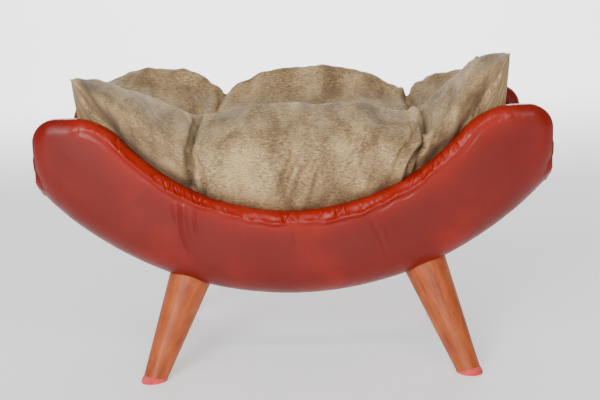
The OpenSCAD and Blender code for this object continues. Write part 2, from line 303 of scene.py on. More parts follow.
def wrapped(edge, inward, y_edge, belly, tuck):
    """Rows from a face's edge to the back: under the belly, or over the rim and down inside by tuck."""
    turns = np.linspace(0, 1, WRAP_ROWS + 1)[1:, None]
    flat_part = np.maximum(y_edge - BACK_Y - ROLL_IN_R, 0.5)
    path = turns * (flat_part + ROLL_IN_R * math.pi / 2 + 5)
    angle = np.clip((path - flat_part) / ROLL_IN_R, 0, math.pi / 2)
    rim_y = y_edge - np.minimum(path, flat_part) - ROLL_IN_R * np.sin(angle)
    rim_y = np.maximum(rim_y, np.minimum(BACK_Y, y_edge))
    rim_in = ROLL_IN_R * (1 - np.cos(angle)) + np.maximum(path - flat_part - ROLL_IN_R * math.pi / 2, 0)
    belly_y = y_edge + (MARGIN_Y - y_edge) * turns
    y = belly * belly_y + (1 - belly) * rim_y
    place = edge[None] + inward[None] * ((1 - belly) * tuck * rim_in)[..., None]
    return np.stack([place[..., 0], y, place[..., 1]], axis=-1)


def padded_face_y(x, z, d, side, seed):
    """Half-depth of one wall's leather. d is the distance to the rim."""
    ear = step(EAR_FROM_X, EAR_FULL_X, np.abs(x))
    inner = np.clip(1 - d / ROLL_R, 0, 1)
    round_rim = ROLL_R * (1 - np.sqrt(np.maximum(1 - inner**2, 0)))
    round_ear = EAR_DROP * np.clip(1 - d / EAR_EASE, 0, 1) ** 3
    full = wall_face_y(x, z)
    y = full - round_rim * (1 - ear) - round_ear * ear

    # Ridge along the lower half of the roll, the line under it, slow lumps and creases in the face
    groove_at = GROOVE_AT + 3.0 * noise(x / 46, 0, seed) + 1.8 * noise(x / 15, 0, seed + 1)
    groove = (0.5 + 0.8 * noise(x / 28, 0, seed + 2)) * (1 - ear)
    ridge_at = groove_at - RIDGE_ABOVE + 1.5 * noise(x / 19, 0, seed + 7)
    ridge = (3.0 + 2.4 * rough(x / 24, 0, seed + 8)) * (1 - ear)
    y = y - groove * bell(d - groove_at, GROOVE_HALF) + ridge * bell(d - ridge_at, RIDGE_HALF)
    y = y + FACE_SWELL * step(24, 70, d) * (1 - step(50, 120, d))
    y = y + 0.7 * rough(x / 95, z / 60, seed + 4) * step(10, 40, d)
    if side < 0:
        for start, end, bow, half, deep in FACE_CREASES:
            across, t = along_crease(x, z, start, end, bow)
            fall = step(-0.06, 0.12, t) * (1 - step(0.7, 1.05, t))
            y = y - deep * fall * (bell(across, half) - 0.45 * bell(across - 2.6 * half, 1.6 * half))

    # the leather never sinks into the plywood behind it
    backed = (d > PLY_INSET) | ((np.abs(x) > HALF_W - EAR_R) & (z < EAR_Z - EAR_R))
    return np.where(backed, np.maximum(y, np.minimum(PLY_Y + 1.0, full - 0.6)), y)


def wall_cover(name, side, seed):
    """Leather over one wall: turned margin, rounded shoulder, padded face and rolled rim."""
    low, top = wall_edges()
    share = np.concatenate([np.linspace(0, 0.62, 34), np.linspace(0.62, 1, 40)[1:]])[:, None, None]
    face = low[None] + (top - low)[None] * share
    fx, fz = face[..., 0], face[..., 1]
    d = distance_to(face.reshape(-1, 2), UPPER_EDGE).reshape(fx.shape)
    belly = step(16, 34, distance_to(low, UPPER_EDGE))
    fy = np.maximum(padded_face_y(fx, fz, d, side, seed), BACK_Y * (1 - belly))
    at_end = (np.abs(top[:, 0]) > HALF_W - EAR_R) & (top[:, 1] < EAR_Z - 2)
    rising = END_TUCK + (1 - END_TUCK) * step(EAR_Z - EAR_R, EAR_Z - 18, top[:, 1])
    under = wrapped(low, inward_of(low, 1), fy[0], belly, np.full(COLUMNS, END_TUCK))
    over = wrapped(top, inward_of(top, -1), fy[-1], np.zeros(COLUMNS), np.where(at_end, rising, 1.0))
    pts = np.concatenate([under[::-1], np.stack([fx, fy, fz], axis=-1), over])
    out = grid_normals(pts, WRAP_ROWS + 20, 1)

    # v is the distance down over the rim from its top line, u the place along it
    seg = np.linalg.norm(np.diff(pts, axis=0), axis=-1)
    v = np.concatenate([np.zeros((1, COLUMNS)), np.cumsum(seg, axis=0)])
    v = v[-WRAP_ROWS - 1][None] - v
    u = pts[..., 0] * (1 + 0.25 * (np.abs(pts[..., 0]) / 240) ** 2)
    far = np.abs(pts[..., 0])
    on_rim = (1 - 0.75 * step(256, 285, far)) * (1 - step(300, 314, far))
    relief = roll_relief(u if side < 0 else -u + 31, v, seed) * on_rim
    pts = pts + out * relief[..., None]
    pts[..., 1] *= side
    rows, cols = pts.shape[:2]
    obj = mesh_object(name, pts, grid_faces(rows, cols, flip=side > 0))
    wrap = np.ones((WRAP_ROWS, COLUMNS))
    all_d = np.concatenate([60.0 * wrap * belly, d, 0 * wrap])
    # painted highlight: edge is 1 along the rolled rim and fades down the face and towards the ends, where
    # the leather turns brighter red
    float_attribute(obj, "edge", bell(all_d, 22) * (1 - 0.75 * step(250, 292, np.abs(pts[..., 0]))))
    thicken(obj, LEATHER_T)
    return obj


# ---------- Cushion ----------
CUSHION_COLUMNS = 214
TOP_ROWS = 128
UNDER_ROWS = 56
CUSHION_TIP_X = 270.0
CUSHION_TIP_Y = 134.0
SEAM_Y = 117.5
SEAM_DROP = 14.0
REAR_DROP = (10.0, 36.0)
REAR_TUCK = 38.0
TROUGH_R = LINING_R - 2.0
FLARE = (232.0, 262.0)
TROUGH_END_X = 246.0
END_CROWD = 0.92
END_SAG = 24.0
REAR_CORNER_FOLD = (12.0, 14.0)
LEFT_TIP_Z, RIGHT_TIP_Z = 381.0, 395.0
CLOTH_CAP = 11.0
CLOTH_FRAMES = 16
CLOTH_PRESSURE = 4.0


def curve_through(at, values, x):
    """Smooth curve through points; at must rise, and values may hold one column per output."""
    at = np.asarray(at, float)
    values = np.asarray(values, float)
    slope = np.gradient(values, at, axis=0)
    x = np.clip(np.asarray(x, float), at[0], at[-1])
    i = np.clip(np.searchsorted(at, x) - 1, 0, len(at) - 2)
    h = at[i + 1] - at[i]
    t = (x - at[i]) / h
    if values.ndim > 1:
        t, h = t[..., None], h[..., None]
    a, b = values[i], values[i + 1]
    m, n = slope[i] * h, slope[i + 1] * h
    first = (2 * t**3 - 3 * t**2 + 1) * a + (t**3 - 2 * t**2 + t) * m
    return first + (3 * t**2 - 2 * t**3) * b + (t**3 - t**2) * n


def tip_z(x):
    """Height of the cushion's pointed corners: the right end stands a little higher."""
    return np.where(np.asarray(x) < 0, LEFT_TIP_Z, RIGHT_TIP_Z)


def seam_z(x):
    """Height of the front and rear seams, which rise to the tips."""
    low = RIM_Z - SEAM_DROP
    return low + (tip_z(x) - low) * (np.abs(x) / CUSHION_TIP_X) ** 2.6


def ridge_heights(x):
    """Heights of the front ridge, the lengthwise valley and the rear ridge along the cushion."""
    front_x = [-270, -247, -222, -200, -160, -118, -70, 0, 80, 152, 180, 215, 245, 270]
    front_z = [381, 378, 367, 359, 344, 326, 332, 333, 332, 328, 346, 374, 390, 395]
    rear_x = [-270, -250, -225, -200, -135, -92, -50, 20, 100, 152, 185, 215, 245, 270]
    rear_z = [368, 372, 374, 375, 370, 348, 363, 368, 361, 343, 355, 360, 362, 362]
    mid_x = [-270, -235, -200, -160, -110, -50, 20, 90, 155, 190, 225, 250, 270]
    mid_z = [345, 343, 339, 331, 319, 322, 323, 322, 318, 330, 344, 352, 356]
    return [curve_through(k, z, x) for k, z in ((front_x, front_z), (mid_x, mid_z), (rear_x, rear_z))]


def end_seam_z(x, y):
    """Height of the seam across one end: it sags, and its rear corner is folded lower."""
    share = y / CUSHION_TIP_Y
    to_rear = np.clip(share, 0, 1)
    both, right = REAR_CORNER_FOLD
    return tip_z(x) - END_SAG * (1 - share**2) - both * to_rear - right * to_rear * (np.asarray(x) > 0)


def column_crease(y_share, side_x):
    """Where the crosswise tuft crease runs, from the front seam at -1 to the rear seam at 1."""
    if side_x < 0:
        return curve_through([-1, -0.8, -0.5, 0, 0.5, 1], [-130, -129, -123, -108, -93, -90], y_share)
    return curve_through([-1, -0.8, -0.62, -0.5, 0, 0.5, 1], [146, 158, 164, 166, 158, 155, 155], y_share)


def cushion_x(u):
    """Place along the cushion for u from -1 to 1."""
    return CUSHION_TIP_X * np.sin(u * math.pi / 2 * END_CROWD) / math.sin(math.pi / 2 * END_CROWD)


def cushion_columns():
    """The columns' u, crowded at the two crosswise creases."""
    u = np.linspace(-1, 1, 2001)
    u = np.sign(u) * (1 - (1 - np.abs(u)) ** 1.12)
    x = cushion_x(u)
    crowd = 1 + 2.4 * bell(x + 112, 24) + 2.6 * bell(x - 158, 18)
    place = np.concatenate([[0], np.cumsum((crowd[1:] + crowd[:-1]) / 2 * np.diff(u))])
    return np.interp(np.linspace(0, place[-1], CUSHION_COLUMNS), place, u)


def seam_y(x):
    """Half-depth of the cushion at its front and rear seams, which flare out to the tips."""
    return SEAM_Y + (CUSHION_TIP_Y - SEAM_Y) * step(*FLARE, np.abs(x))


def rear_tuck(x, span):
    """How far the rear left corner is folded inwards. span runs from the front seam to the rear one."""
    return REAR_TUCK * step(0.1, 0.75, span) * step(-190, -262, x)


def rear_sink(x, u, span):
    """How far the two rear corners hang below the others."""
    return np.where(x < 0, *REAR_DROP) * step(0.45, 1.0, span) * step(0.86, 1.0, np.abs(u))


def cushion_top(u, x, span):
    """Rows from the front seam over both ridges and the valley between them to the rear seam."""
    z_seam, y_seam = seam_z(x), seam_y(x)
    z_front, z_mid, z_rear = ridge_heights(x)
    swell = 25 * (1 - step(150, 262, np.abs(x))) + 6 * (1 - step(*FLARE, np.abs(x)))
    lift = 1 - step(0.955, 1.0, np.abs(u))
    rise_f, rise_r = z_front - z_seam, z_rear - z_seam
    y_side, y_top = y_seam + swell, y_seam - 22 - 8 * lift
    inner_y = 52 + 0 * x
    knots = [-1, -0.84, -0.66, -0.5, -0.25, 0, 0.25, 0.5, 0.66, 0.84, 1]
    half_y = [inner_y, y_top, y_side - 1.5, y_side, y_seam]
    front = [z_seam, z_seam + 0.34 * rise_f, z_seam + 0.74 * rise_f, z_front, (z_front + z_mid * 1.4) / 2.4]
    rear = [(z_rear + z_mid * 1.2) / 2.2, z_rear, z_seam + 0.74 * rise_r, z_seam + 0.34 * rise_r, z_seam]
    y = curve_through(knots, np.stack([-k for k in half_y[::-1]] + [0 * x] + half_y), span)
    z = curve_through(knots, np.stack(front + [z_mid] + rear), span)
    # towards the ends the top comes down to the end seam, which sags between the corners
    close = step(0.90, 1.0, np.abs(u)) ** 2
    z = z * (1 - close) + np.minimum(z, end_seam_z(x, y)) * close
    z = z - rear_sink(x, u, span[:, None])
    return np.stack([x + rear_tuck(x, span[:, None]), y, z], axis=-1)


def cushion_underside(u, x):
    """Rows from the rear seam down inside the walls, along the trough, and back up to the front seam."""
    x_low = x * (1 + 0.035 * (1 - step(0.9, 1.0, np.abs(u))) * step(0.2, 0.8, np.abs(u)))
    x_low = np.clip(x_low, -CUSHION_TIP_X, CUSHION_TIP_X)
    bowl = AXIS_Z - np.sqrt(np.maximum(TROUGH_R**2 - np.minimum(np.abs(x_low), TROUGH_END_X) ** 2, 0))
    climb = np.clip((np.abs(x_low) - TROUGH_END_X) / (CUSHION_TIP_X - TROUGH_END_X), 0, 1)
    span = np.linspace(1, -1, UNDER_ROWS + 2)[1:-1, None]
    y_low = span * (seam_y(x) - 2)
    corner = np.clip((np.abs(span) - 0.72) / 0.28, 0, 1)
    end_low = end_seam_z(x_low, y_low)
    bottom = bowl[None] + (end_low - bowl) * climb**3.2
    seam_low = np.minimum(seam_z(x), end_low) - rear_sink(x, u, span)
    z_low = bottom + (seam_low - bottom) * (1 - np.sqrt(1 - corner**2))
    return np.stack([x_low + rear_tuck(x, span), np.broadcast_to(y_low, z_low.shape), z_low], axis=-1)


TUFTS = [(-123, -96), (166, -100), (-108, 0), (158, 0), (-93, 92), (155, 92)]


def crease_strength(span, side_x):
    """How strongly the crosswise crease pulls in, along it from the front seam to the rear seam."""
    width = 0.30 if side_x < 0 else 0.24
    front, middle, rear = bell(span + 0.58, width), bell(span, 0.2), bell(span - 0.5, 0.24)
    return (0.25 + 0.75 * front + 0.55 * rear + 0.3 * middle) * (1 - step(0.93, 1.0, np.abs(span)))


def cushion_relief(x, span):
    """Broad hollows between the puffs, before the cloth swells."""
    depth = np.zeros(x.shape)
    for side_x in (-1, 1):
        gap = np.abs(x - column_crease(span, side_x))
        depth += crease_strength(span, side_x) * (9 * np.exp(-gap / 12) + 9 * np.exp(-gap / 36))
    valley = np.exp(-np.abs(span - 0.03 * np.sin(x / 70)) / 0.05)
    return -depth - 4.5 * valley * (1 - step(225, 262, np.abs(x)))


def cushion_creases(x, y, z, span):
    """Height of the sharp creases and of the puckers at the tufts. Also the painted shade along the
    creases.
    """
    height = np.zeros(x.shape)
    painted_crease_shade = np.zeros(x.shape)
    for side_x in (-1, 1):
        wander = 2.2 * noise(span * 9, side_x, 4)
        gap = x - column_crease(span, side_x) - wander
        strength = crease_strength(span, side_x)
        sharp = np.exp(-np.abs(gap) / 2.6) - 0.3 * bell(np.abs(gap) - 11, 6)
        height -= 13 * strength * sharp
        # painted shade, darkest along the middle of each crease
        painted_crease_shade += strength * np.exp(-np.abs(gap) / 1.7)
    for k, (tx, ty) in enumerate(TUFTS):
        reach = np.hypot(x - tx, (y - ty)) + 0.5 * np.abs(z - 330)
        angle = np.arctan2(y - ty, x - tx)
        ripple = 2.6 * np.cos(7 * angle + k * 1.3) + 1.8 * np.cos(12 * angle + 2.1 * k)
        height += np.exp(-reach / 26) * ripple * step(3, 12, reach)
    return height, painted_crease_shade


# Long soft folds on the cushion's front: start, end (x and height), bow, half width, depth
CUSHION_FOLDS = [
    ((6.0, 322.0), (-6.0, 262.0), 5.0, 3.6, 3.4),
    ((14.0, 292.0), (-18.0, 214.0), -7.0, 3.4, 5.0),
    ((30.0, 280.0), (4.0, 212.0), -6.0, 3.2, 4.6),
    ((42.0, 276.0), (24.0, 216.0), -4.0, 3.0, 2.6),
    ((76.0, 322.0), (56.0, 254.0), 7.0, 4.5, 3.0),
    ((92.0, 300.0), (68.0, 224.0), 5.0, 3.6, 3.0),
    ((156.0, 306.0), (122.0, 240.0), -6.0, 3.0, 4.2),
    ((166.0, 292.0), (136.0, 246.0), -5.0, 2.8, 3.6),
    ((148.0, 316.0), (140.0, 286.0), 6.0, 2.6, 3.6),
    ((-62.0, 322.0), (-74.0, 280.0), -6.0, 5.0, 2.0),
    ((-122.0, 290.0), (-108.0, 226.0), 4.0, 3.4, 2.8),
    ((-134.0, 262.0), (-118.0, 224.0), 3.0, 3.0, 2.2),
    ((-152.0, 322.0), (-146.0, 268.0), 5.0, 4.5, 1.8),
    ((-205.0, 350.0), (-190.0, 300.0), 5.0, 5.0, 1.6),
    ((205.0, 350.0), (185.0, 290.0), -5.0, 5.0, 1.6),
]


def fold_relief(x, y, z, seed):
    """Soft lumps all over, and the long folds on the front."""
    height = 1.5 * rough(x / 34, z / 46 + y / 60, seed) + 0.7 * rough(x / 12, (z + y) / 26, seed + 5)
    front = (1 - step(-118, -96, y)) * step(205, 232, z)
    for start, end, bow, half, deep in CUSHION_FOLDS:
        across, along = along_crease(x, z, start, end, bow)
        fall = step(-0.1, 0.25, along) * (1 - step(0.75, 1.1, along))
        fold = bell(across, half) - 0.7 * bell(across - 2.2 * half, 1.5 * half)
        height = height - front * deep * fall * fold
    return height


def simulate_cloth(obj, pins, rest):
    """Swells the piece with Blender's Cloth, caps how far its points move, and keeps the result."""
    group = obj.vertex_groups.new(name="pins")
    for weight in np.unique(pins):
        if weight > 0:
            group.add(np.nonzero(pins == weight)[0].tolist(), float(weight), "REPLACE")
    mod = obj.modifiers.new("cloth", "CLOTH")
    cloth = mod.settings
    cloth.quality = 4
    cloth.mass = 0.25
    cloth.tension_stiffness = 18
    cloth.compression_stiffness = 18
    cloth.shear_stiffness = 6
    cloth.bending_stiffness = 0.25
    cloth.tension_damping = 8
    cloth.use_pressure = True
    cloth.uniform_pressure_force = CLOTH_PRESSURE
    cloth.shrink_min = -0.07
    cloth.effector_weights.gravity = 0
    cloth.vertex_group_mass = "pins"
    mod.point_cache.frame_start, mod.point_cache.frame_end = 1, CLOTH_FRAMES
    for number in range(1, CLOTH_FRAMES + 1):
        bpy.context.scene.frame_set(number)
    evaluated = obj.evaluated_get(bpy.context.evaluated_depsgraph_get())
    co = np.empty(len(obj.data.vertices) * 3)
    evaluated.data.vertices.foreach_get("co", co)
    obj.modifiers.remove(mod)
    obj.vertex_groups.clear()
    bpy.context.scene.frame_set(1)
    moved = co.reshape(-1, 3) / MM - rest
    size = np.maximum(np.linalg.norm(moved, axis=1, keepdims=True), 1e-9)
    moved = moved * np.minimum(1, CLOTH_CAP / size)
    obj.data.vertices.foreach_set("co", ((rest + moved) * MM).ravel())
    obj.data.update()


def cloth_coordinates(obj, pts):
    """Distances along and across the cloth, which its pattern follows."""
    middle = pts.shape[1] // 2
    along = np.cumsum(np.linalg.norm(np.diff(pts, axis=1, prepend=pts[:, :1]), axis=-1), axis=1)
    across = np.cumsum(np.linalg.norm(np.diff(pts, axis=0, prepend=pts[:1]), axis=-1), axis=0)
    along = along - along[:, middle][:, None]
    float_attribute(obj, "cloth_u", along * MM)
    float_attribute(obj, "cloth_v", np.broadcast_to(across[:, middle][:, None], along.shape) * MM)


def cushion_pins(x, span, shape):
    """1 where the cloth is held: underneath, at the seams and ends, and in the deep creases."""
    pins = np.zeros(shape)
    pins[TOP_ROWS:] = 1.0
    pins[[0, TOP_ROWS - 1]] = 1.0
    pins[:, [0, -1]] = 1.0
    for side_x in (-1, 1):
        gap = np.abs(x - column_crease(span, side_x))
        pins[:TOP_ROWS][(gap < 3) & (crease_strength(span, side_x) > 0.62)] = 1.0
    return pins


def painted_rim_shade(x, y, z):
    """Painted shade on the pile just above the front wall's rim, most of all at its left."""
    to_rim = np.abs(RIM_R - 3 - np.hypot(x, RIM_AXIS_Z - z))
    near = np.exp(-to_rim / 9) * (y < -100) * step(60, 110, np.abs(x))
    return (0.45 + 0.3 * (x < 0)) * near


def cushion():
    """The velvet cushion: swollen by the cloth, then creased and folded. Also the points of its top."""
    u, t = cushion_columns(), np.linspace(-1, 1, TOP_ROWS)
    top = cushion_top(u, cushion_x(u), t)
    span = t[:, None] + 0 * top[..., 0]
    inside = (1 - step(0.94, 1.0, np.abs(t)))[:, None] * (1 - step(255, 270, np.abs(top[..., 0])))
    hollows = cushion_relief(top[..., 0], span) * inside
    top = top + grid_normals(top, TOP_ROWS // 2, 2) * hollows[..., None]
    pts = np.concatenate([top, cushion_underside(u, cushion_x(u))])
    rows, cols = pts.shape[:2]
    flat = pts.reshape(-1, 3)
    obj = mesh_object("cushion_velvet", flat, grid_faces(rows, cols, loop_rows=True, flip=True))
    cloth_coordinates(obj, pts)
    simulate_cloth(obj, cushion_pins(top[..., 0], span, (rows, cols)).ravel(), flat)

    # Creases and folds come after the cloth, along its own normals
    co = np.empty(len(flat) * 3)
    obj.data.vertices.foreach_get("co", co)
    swollen = co.reshape(rows, cols, 3) / MM
    out = grid_normals(swollen, TOP_ROWS // 2, 2)[:TOP_ROWS]
    x, y, z = (swollen[:TOP_ROWS, :, k] for k in range(3))
    creases, painted_crease_shade = cushion_creases(x, y, z, span)
    late = (creases + 1.9 * fold_relief(x, y, z, 3)) * inside
    swollen[:TOP_ROWS] += out * late[..., None]
    # dark is painted shade, along the creases and just above the front rim; it is stored in the crease
    # attribute
    dark = np.zeros((rows, cols))
    dark[:TOP_ROWS] = np.clip(painted_crease_shade + painted_rim_shade(*np.moveaxis(swollen[:TOP_ROWS], 2, 0)), 0, 1) * inside
    float_attribute(obj, "crease", dark)
    obj.data.vertices.foreach_set("co", (swollen * MM).ravel())
    obj.data.update()
    smooth = obj.modifiers.new("subdivision", "SUBSURF")
    smooth.levels = smooth.render_levels = 1
    return obj, swollen[:TOP_ROWS]


# ---------- Tufting ties ----------
TIE_R = 1.05
KNOT_R = 2.1
TIE_LEVELS = 150
TIE_SIDES = 14


def tufting_ties(surface):
    """Twisted cords through the cushion, knotted just outside its cover above and below."""
    verts, faces = [], []
    around = np.linspace(0, 2 * math.pi, TIE_SIDES, endpoint=False)
    tops = surface.reshape(-1, 3)
    for x in TIE_X:
        for y in TIE_Y:
            z_top = tops[np.argmin(np.hypot(tops[:, 0] - x, tops[:, 1] - y)), 2] + 0.5
            z_low = AXIS_Z - math.sqrt(TROUGH_R**2 - x * x) - 0.5
            z = np.linspace(z_low, z_top, TIE_LEVELS)[:, None]
            knot = bell(z - z_top + 2, 1.8) + bell(z - z_low - 2, 1.8)
            strand = 0.22 * np.abs(np.cos(around - z * 1.1))
            radius = TIE_R + strand + (KNOT_R - TIE_R) * knot * (1 + 0.25 * np.cos(3 * around + z))
            radius = radius * np.where((z == z[0]) | (z == z[-1]), 0.3, 1.0)
            spoke = radius[..., None] * np.stack([np.cos(around), np.sin(around), 0 * around], axis=-1)
            ring = spoke + np.stack([x + 0 * z, y + 0 * z, z], axis=-1)
            base = len(verts)
            verts.extend(ring.reshape(-1, 3).tolist())
            quads = grid_faces(TIE_LEVELS, TIE_SIDES, loop_cols=True)
            faces.extend([[base + i for i in quad] for quad in quads])
            faces.append([base + i for i in range(TIE_SIDES)][::-1])
            faces.append([base + (TIE_LEVELS - 1) * TIE_SIDES + i for i in range(TIE_SIDES)])
    return mesh_object("tufting_cords", verts, faces)


# ---------- Linings, deck pad, end covers and dust cover ----------
LINING_T = 1.0
LINING_TOP_INSET = 9.0
LINING_BEHIND_PAD = 12.0
PAD_ROWS = 64
PAD_COLUMNS = 220
FOAM_BOTTOM_R = 413.2
NOTCH_R = 387.2
NOTCH_Y = 62.0
NOTCH_HALF = math.radians(4.7)
PAD_Y = 119.8
BLOCK_LEAN = 6.0
RAIL_TOP_R = 373.1
SHEET_COLUMNS = 320
STAPLE_PULL = 7.0


def round_axis(radius, angle, y):
    """A point at that radius and angle from the shell's lengthwise axis; the angle is 0 at the bottom."""
    radius, angle, y = np.broadcast_arrays(radius, angle, y)
    return np.stack([radius * np.sin(angle), y, AXIS_Z - radius * np.cos(angle)], axis=-1)


def lining(name, side, seed):
    """Leather inside one wall, from under the rim's roll down to the deck pad."""
    low, top = wall_edges()
    top = top + inward_of(top, -1) * np.where(top[:, 1] > EAR_Z - EAR_R, LINING_TOP_INSET, 2.0)[:, None]
    low = low + inward_of(low, 1) * 2.0
    share = np.linspace(0, 1, 400)[None, :, None]
    ray = low[:, None] + (top - low)[:, None] * share
    angle = np.abs(np.arctan2(ray[..., 0], AXIS_Z - ray[..., 1]))
    radius = np.hypot(ray[..., 0], AXIS_Z - ray[..., 1])
    first = np.argmax((radius <= LINING_R + LINING_BEHIND_PAD) | (angle > DECK_ANGLE + 0.006), axis=1)
    low = ray[np.arange(len(low)), first]
    rows = 40
    face = low[None] + (top - low)[None] * np.linspace(0, 1, rows)[:, None, None]
    y = LINING_Y + 0.3 + 0.5 * np.clip(0.5 + 0.5 * rough(face[..., 0] / 40, face[..., 1] / 30, seed), 0, 1)
    pts = np.stack([face[..., 0], side * y, face[..., 1]], axis=-1)
    obj = mesh_object(name, pts, grid_faces(rows, COLUMNS, flip=side < 0))
    float_attribute(obj, "edge", np.zeros(rows * COLUMNS))
    thicken(obj, LINING_T, 0.0)
    return obj


def deck_pad():
    """Leather over foam along the deck: edges turned down, and notches under it for the leg blocks."""
    angle = np.linspace(-1, 1, PAD_COLUMNS) * (DECK_ANGLE - 0.004)
    y = np.sin(np.linspace(-1, 1, PAD_ROWS) * math.pi / 2)[:, None] * PAD_Y
    edge_y = np.clip((np.abs(y) - (PAD_Y - 9)) / 9, 0, 1)
    edge_a = np.clip((np.abs(angle) * LINING_R - (DECK_ANGLE * LINING_R - 12)) / 12, 0, 1)
    sink = 7 * (1 - np.sqrt(1 - edge_y**2)) + 3 * (1 - np.sqrt(np.maximum(1 - edge_a**2, 0)))
    lumps = 0.9 * (1 + rough(angle * LINING_R / 60, y / 45, 41)) * (1 - edge_y) * (1 - edge_a)
    # over the end rails there is only leather
    deepest = RAIL_TOP_R + 12 * step(math.radians(40.9), math.radians(38.5), np.abs(angle))
    top = round_axis(np.minimum(LINING_R + 0.3 + sink + np.maximum(lumps, 0), deepest), angle[None], y)
    y_back = y[::-1]
    in_notch = np.zeros((PAD_ROWS, PAD_COLUMNS), bool)
    for side_x in (-1, 1):
        mid = side_x * math.atan2(LEG_TOP[0] + side_x * LEG_SHIFT - BLOCK_LEAN, AXIS_Z - LEG_TOP_Z - 22)
        in_notch |= (np.abs(angle[None] - mid) < NOTCH_HALF) & (np.abs(y_back) > NOTCH_Y)
    under = round_axis(np.where(in_notch, NOTCH_R, FOAM_BOTTOM_R), angle[None], y_back)
    pts = np.concatenate([top, under])
    rows = len(pts)
    faces = grid_faces(rows, PAD_COLUMNS, loop_rows=True)
    faces.append([i * PAD_COLUMNS for i in range(rows)])
    faces.append([i * PAD_COLUMNS + PAD_COLUMNS - 1 for i in range(rows)][::-1])
    obj = mesh_object("deck_pad", pts, faces)
    float_attribute(obj, "edge", np.zeros(rows * PAD_COLUMNS))
    return obj


def end_cover(name, side_x):
    """Leather folded over one end of the deck: from the pad, down the end and back underneath."""
    face = DECK_ANGLE + math.radians(0.2)
    # the fold's path, as radius and angle: over the pad's edge, down the end, round its corner and back
    bend = [(373.4, face - 0.012), (372.6, face - 0.006), (373.0, face - 0.002), (375.0, face)]
    down = [(r, face) for r in np.linspace(378, 424, 16)]
    turn = [(427.4, face - 0.0004), (428.8, face - 0.002), (429.4, face - 0.006), (429.5, face - 0.012)]
    back = [(429.5, a) for a in np.linspace(face - 0.016, MARGIN_ANGLE, 8)]
    path = np.array(bend + down + turn + back)
    share = np.linspace(-1, 1, 120)
    half = np.where(path[:, 1] > face - 0.009, PAD_Y - 0.4, MARGIN_Y - 0.4)
    y = half[:, None] * share[None]
    on_face = step(376, 390, path[:, 0]) * (1 - step(414, 426, path[:, 0]))
    wave = 0.0009 * rough(y / 26, path[:, :1] / 30, 51) * on_face[:, None]
    pleat = 0.35 * noise(y / 5, 0, 52) * step(428, 429.4, path[:, 0])[:, None]
    pts = round_axis(path[:, :1] - np.abs(pleat), side_x * (path[:, 1:] - np.abs(wave)), y)
    rows, cols = pts.shape[:2]
    obj = mesh_object(name, pts, grid_faces(rows, cols, flip=side_x < 0))
    float_attribute(obj, "edge", np.zeros(rows * cols))
    thicken(obj, 1.0)
    return obj


def dust_cover():
    """Thin cloth under the deck, pulled in at each staple and slack between them."""
    angle = np.linspace(-1, 1, SHEET_COLUMNS) * MARGIN_ANGLE
    y = np.linspace(-1, 1, 90)[:, None] * (MARGIN_Y - 0.4)
    phase = np.cos(angle * 2 * math.pi / STAPLE_STEP + math.pi)
    near_row = bell(np.abs(y) - STAPLE_Y, STAPLE_PULL)
    slack = step(0, 1, 1 - (np.abs(y) / MARGIN_Y) ** 2)
    pucker = 0.35 * near_row * (1 - phase[None]) / 2
    ripple = 0.5 * (1 + noise(angle * DECK_R / 24, y / 30, 61)) * slack
    hem = 0.4 * step(MARGIN_Y - 10, MARGIN_Y - 9, np.abs(y))
    pts = round_axis(DECK_R + 0.5 + pucker + ripple + hem, angle[None], y)
    obj = mesh_object("dust_cloth", pts, grid_faces(90, SHEET_COLUMNS, flip=True))
    thicken(obj, 0.5, 0.0)
    return obj


# ---------- Foot pads ----------
PAD_SIDES = 72
PAD_ROUND = 1.1


def leg_frame(side_x, side_y):
    """Where one leg's axis meets the floor, its direction up, and two directions across it."""
    foot = np.array([LEG_SHIFT + side_x * FOOT[0], side_y * FOOT[1], 0.0])
    top = np.array([LEG_SHIFT + side_x * LEG_TOP[0], side_y * LEG_TOP[1], LEG_TOP_Z])
    axis = (top - foot) / np.linalg.norm(top - foot)
    across = np.cross([0.0, 0.0, 1.0], axis)
    across /= np.linalg.norm(across)
    return foot, axis, across, np.cross(axis, across)


def foot_pad(name, side_x, side_y):
    """A felt wedge between the leg's square-cut foot and the floor, thick on its outer side."""
    foot, axis, across, other = leg_frame(side_x, side_y)
    tilt = math.acos(axis[2]) / 2
    radius = LEG_FOOT_R + PAD_GROW
    cut = (PAD_MIN_T + radius * math.tan(tilt)) / math.cos(tilt)
    plane = axis + np.array([0.0, 0.0, 1.0])
    plane /= np.linalg.norm(plane)
    angle = np.linspace(0, 2 * math.pi, PAD_SIDES, endpoint=False)
    rows = []

    def ring(r, share, lift=0.0):
        spoke = np.reshape(r, (-1, 1)) * (np.cos(angle)[:, None] * across + np.sin(angle)[:, None] * other)
        floor_s = (lift - spoke[:, 2]) / axis[2]
        cut_s = (cut - spoke @ plane) / (axis @ plane)
        s = floor_s + (cut_s - floor_s) * share
        rows.append(foot + spoke + s[:, None] * axis)

    ring(0.2, 0.0, 0.05)
    ring(radius * 0.6, 0.0, 0.05)
    ring(radius - PAD_ROUND * 1.6, 0.0, 0.05)
    ring(radius - PAD_ROUND * 0.6, 0.0, 0.35)
    for share in np.linspace(0.12, 0.9, 12):
        fuzz = 0.12 * noise(angle * 9, share * 9, 71 + side_x + 2 * side_y)
        ring(radius + 0.5 * math.sin(math.pi * share) + fuzz, share, 0.3)
    ring(radius - PAD_ROUND * 0.2, 0.97, 0.3)
    ring(radius - PAD_ROUND * 0.7, 1.0)
    ring(0.2, 1.0)
    pts = np.array(rows)
    faces = grid_faces(len(pts), PAD_SIDES, loop_cols=True)
    faces.append(list(range(PAD_SIDES))[::-1])
    faces.append([(len(pts) - 1) * PAD_SIDES + i for i in range(PAD_SIDES)])
    return mesh_object(name, pts, faces)


# ---------- Materials ----------
PLY_LAYER = 0.003


